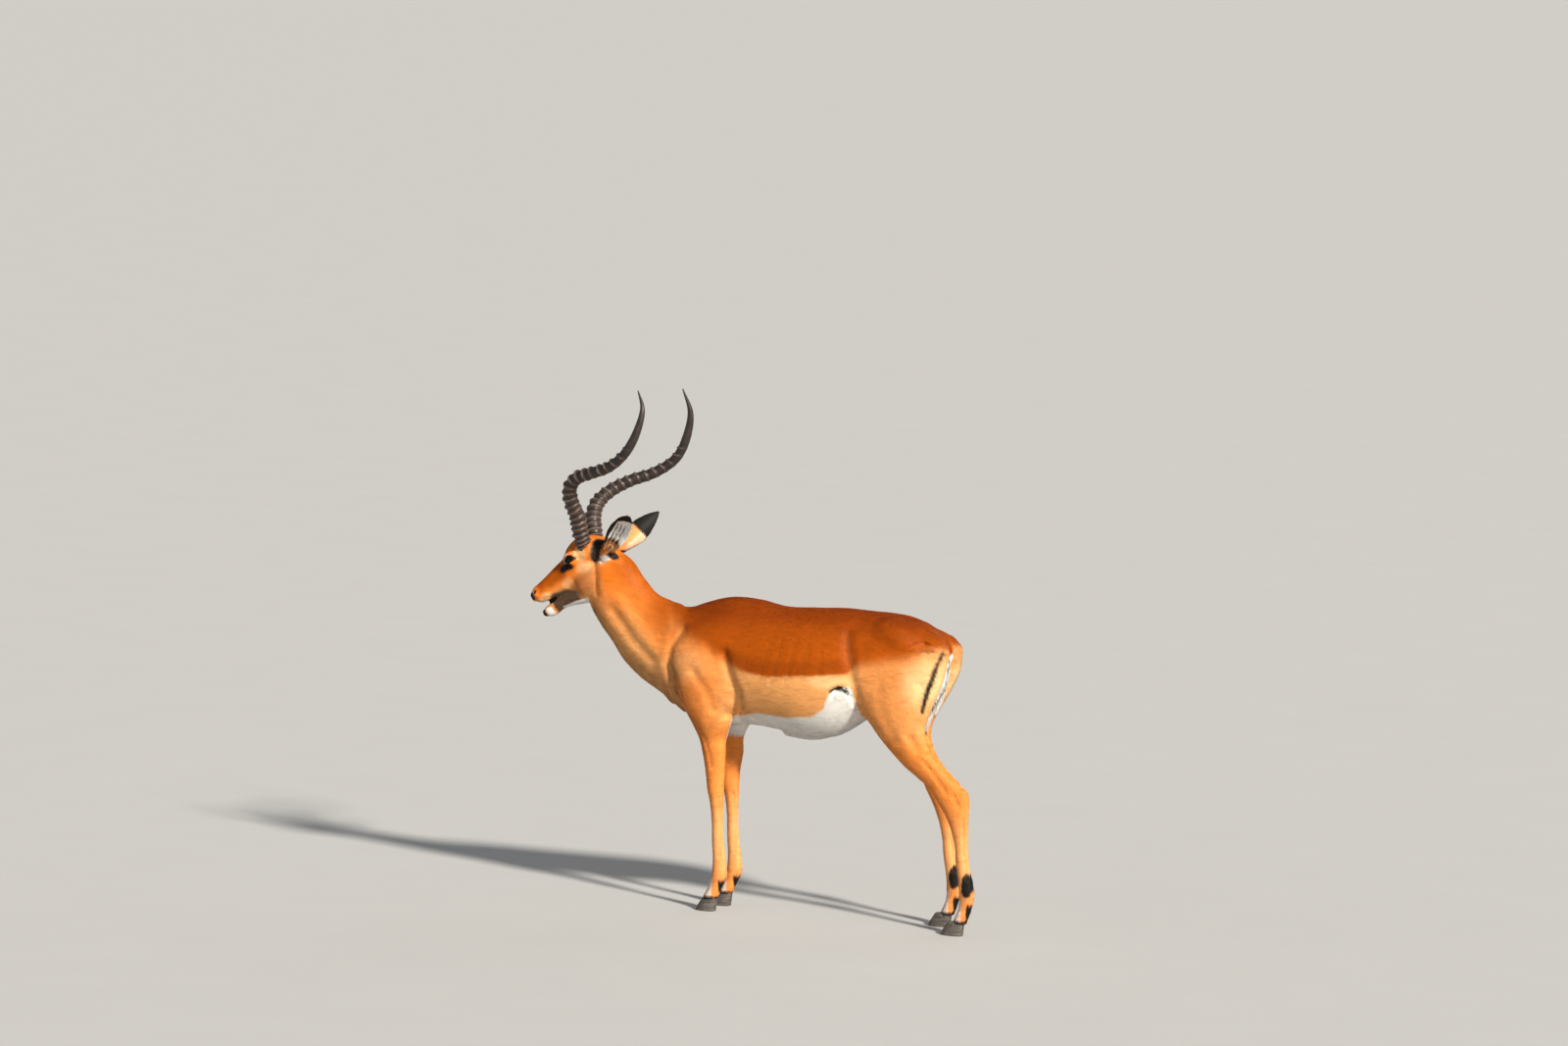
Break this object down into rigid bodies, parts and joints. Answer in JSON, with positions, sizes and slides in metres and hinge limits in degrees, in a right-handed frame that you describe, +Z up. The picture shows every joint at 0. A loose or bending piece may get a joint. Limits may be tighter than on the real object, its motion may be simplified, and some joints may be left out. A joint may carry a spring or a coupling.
{
  "type": "impala antelope",
  "caption": "Life-size still model of a standing adult male impala, looking ahead, with long ridged S-shaped horns, large ears and a hanging tail.",
  "frame": {"origin": "on the floor under the middle of the ram's length and width, to within a centimetre", "axes": "the ram faces -X, its left side is towards -Y, and +Z points up from the floor"},
  "size_m": [1.4315, 0.4019, 1.4779],
  "materials": {
    "coat": "short sleek hair",
    "white_hair": "short white hair",
    "horn": "ridged keratin",
    "hoof": "dark keratin",
    "eye": "wet gloss"
  },
  "bodies": {
    "root": {"chest": "coat", "ear_left": "coat", "ear_right": "coat", "eye_left": "eye", "eye_right": "eye", "fore_cannon_left": "coat", "fore_cannon_right": "coat", "fore_pastern_left": "coat", "fore_pastern_right": "coat", "forearm_left": "coat", "forearm_right": "coat", "head": "coat", "hind_cannon_left": "coat", "hind_cannon_right": "coat", "hind_pastern_left": "coat", "hind_pastern_right": "coat", "hoof_fore_left_inner": "hoof", "hoof_fore_left_outer": "hoof", "hoof_fore_right_inner": "hoof", "hoof_fore_right_outer": "hoof", "hoof_hind_left_inner": "hoof", "hoof_hind_left_outer": "hoof", "hoof_hind_right_inner": "hoof", "hoof_hind_right_outer": "hoof", "horn_left": "horn", "horn_right": "horn", "loin": "coat", "lower_jaw": "coat", "neck": "coat", "rump": "coat", "shank_left": "coat", "shank_right": "coat", "tail": "white_hair", "thigh_left": "coat", "thigh_right": "coat"}
  },
  "joints": []
}
